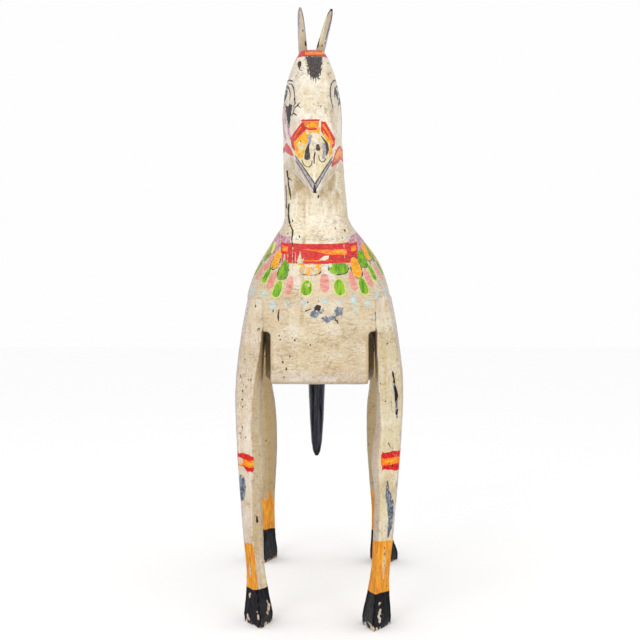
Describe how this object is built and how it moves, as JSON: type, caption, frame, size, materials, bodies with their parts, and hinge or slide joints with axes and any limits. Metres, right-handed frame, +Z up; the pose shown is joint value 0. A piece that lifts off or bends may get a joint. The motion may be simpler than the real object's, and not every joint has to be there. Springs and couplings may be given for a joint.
{
  "type": "toy horse",
  "caption": "Standing carved wooden toy horse with pegged legs, upright ears and a hanging tail, hand painted with a bridle, collar band and petals.",
  "frame": {"origin": "on the ground, under the middle of the bounding box", "axes": "+Z up, the horse faces -Y, +X to the right of someone looking it in the face"},
  "size_m": [0.194, 0.4634, 0.6375],
  "materials": {
    "cream_painted_wood": "hand-painted cream gloss over a dark undercoat, crazed and chipped, with red, orange, green and pink brushwork",
    "painted_leg_wood": "crazed cream paint with red bands, ochre pasterns and black hooves, worn at the edges",
    "black_painted_wood": "semi-gloss black paint, lightly chipped",
    "bare_wood": "bare softwood, aged brown"
  },
  "bodies": {
    "root": {"body_barrel": "cream_painted_wood", "neck_and_head": "cream_painted_wood", "ear_left": "cream_painted_wood", "ear_right": "cream_painted_wood", "foreleg_left": "painted_leg_wood", "foreleg_right": "painted_leg_wood", "hindleg_left": "painted_leg_wood", "hindleg_right": "painted_leg_wood", "tail": "black_painted_wood", "foreleg_left_peg_front": "bare_wood", "foreleg_left_peg_rear": "bare_wood", "foreleg_right_peg_front": "bare_wood", "foreleg_right_peg_rear": "bare_wood", "hindleg_left_peg_front": "bare_wood", "hindleg_left_peg_rear": "bare_wood", "hindleg_right_peg_front": "bare_wood", "hindleg_right_peg_rear": "bare_wood", "neck_dowel_front": "bare_wood", "neck_dowel_rear": "bare_wood"}
  },
  "joints": []
}
